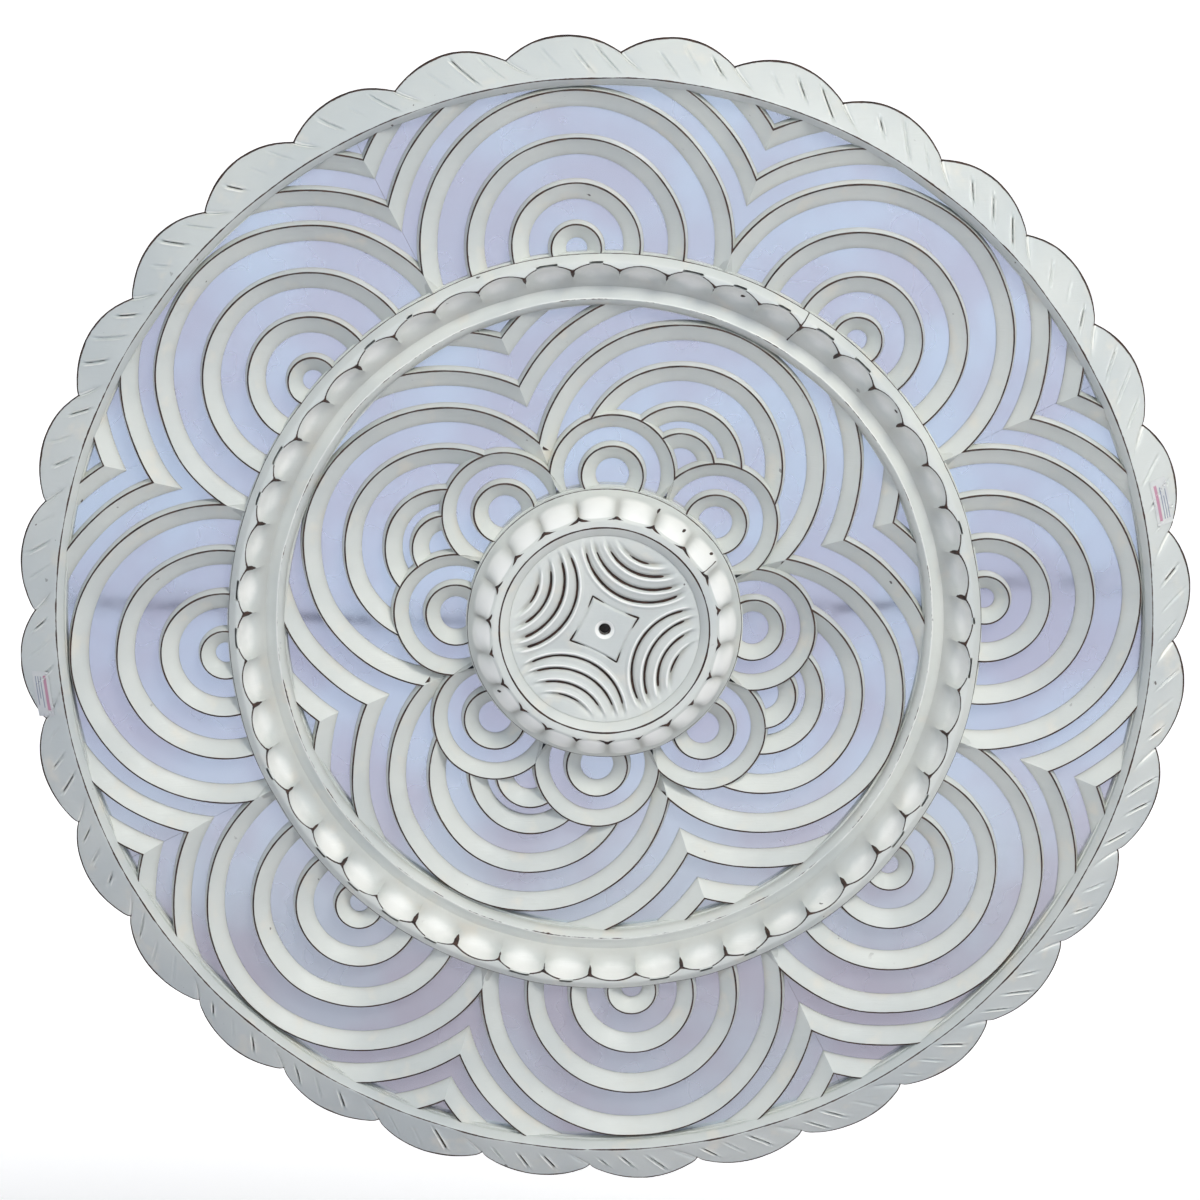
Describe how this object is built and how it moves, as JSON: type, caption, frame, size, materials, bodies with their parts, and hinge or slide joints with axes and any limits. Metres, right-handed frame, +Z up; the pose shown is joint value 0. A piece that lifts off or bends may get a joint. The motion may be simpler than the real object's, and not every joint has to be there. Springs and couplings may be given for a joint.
{
  "type": "round carved wall panel with mirror",
  "caption": "Round wall panel of carved, distressed white wood: scalloped leaf rim, pierced petal fretwork over mirror glass, fluted step ring and raised medallion.",
  "frame": {"origin": "centre of the flat back face that rests on the wall", "axes": "+Z up, +X to the right as the viewer sees the carved face, +Y into the wall; the carved face looks towards -Y"},
  "size_m": [0.912, 0.056, 0.912],
  "materials": {
    "distressed_white_paint": "hand-painted matte white over carved wood, rubbed through to dark brown on the edges",
    "mirror_glass": "silvered glass",
    "bare_board": "raw fibreboard",
    "raw_wood": "unpainted softwood",
    "zinc_steel": "zinc plated",
    "dark_screw": "black oxide",
    "paper_label": "printed paper"
  },
  "bodies": {
    "root": {"rim_segment_1": "distressed_white_paint", "rim_segment_2": "distressed_white_paint", "rim_segment_3": "distressed_white_paint", "rim_segment_4": "distressed_white_paint", "middle_ring_segment_1": "distressed_white_paint", "middle_ring_segment_2": "distressed_white_paint", "middle_ring_segment_3": "distressed_white_paint", "middle_ring_segment_4": "distressed_white_paint", "centre_ring_half_1": "distressed_white_paint", "centre_ring_half_2": "distressed_white_paint", "outer_fretwork": "distressed_white_paint", "inner_fretwork": "distressed_white_paint", "medallion": "distressed_white_paint", "outer_mirror_1": "mirror_glass", "outer_mirror_2": "mirror_glass", "outer_mirror_3": "mirror_glass", "outer_mirror_4": "mirror_glass", "inner_mirror": "mirror_glass", "outer_backing_board": "bare_board", "back_panel": "bare_board", "frame_ring": "raw_wood", "step_ring": "raw_wood", "centre_block": "raw_wood", "medallion_screw": "dark_screw", "frame_screws": "zinc_steel", "step_ring_screws": "zinc_steel", "hanger_strap_left": "zinc_steel", "hanger_strap_right": "zinc_steel", "hanger_screws_left": "zinc_steel", "hanger_screws_right": "zinc_steel", "label_left": "paper_label", "label_right": "paper_label"},
    "left_ring": {"hanger_ring_left": "zinc_steel"},
    "right_ring": {"hanger_ring_right": "zinc_steel"}
  },
  "joints": [
    {"name": "left_ring_swing", "type": "hinge", "parent": "root", "child": "left_ring", "pos_m": [-0.19, -0.0039, 0.235], "axis": [1, 0, 0], "range_deg": [0, 180]},
    {"name": "right_ring_swing", "type": "hinge", "parent": "root", "child": "right_ring", "pos_m": [0.19, -0.0039, 0.235], "axis": [1, 0, 0], "range_deg": [0, 180]}
  ]
}
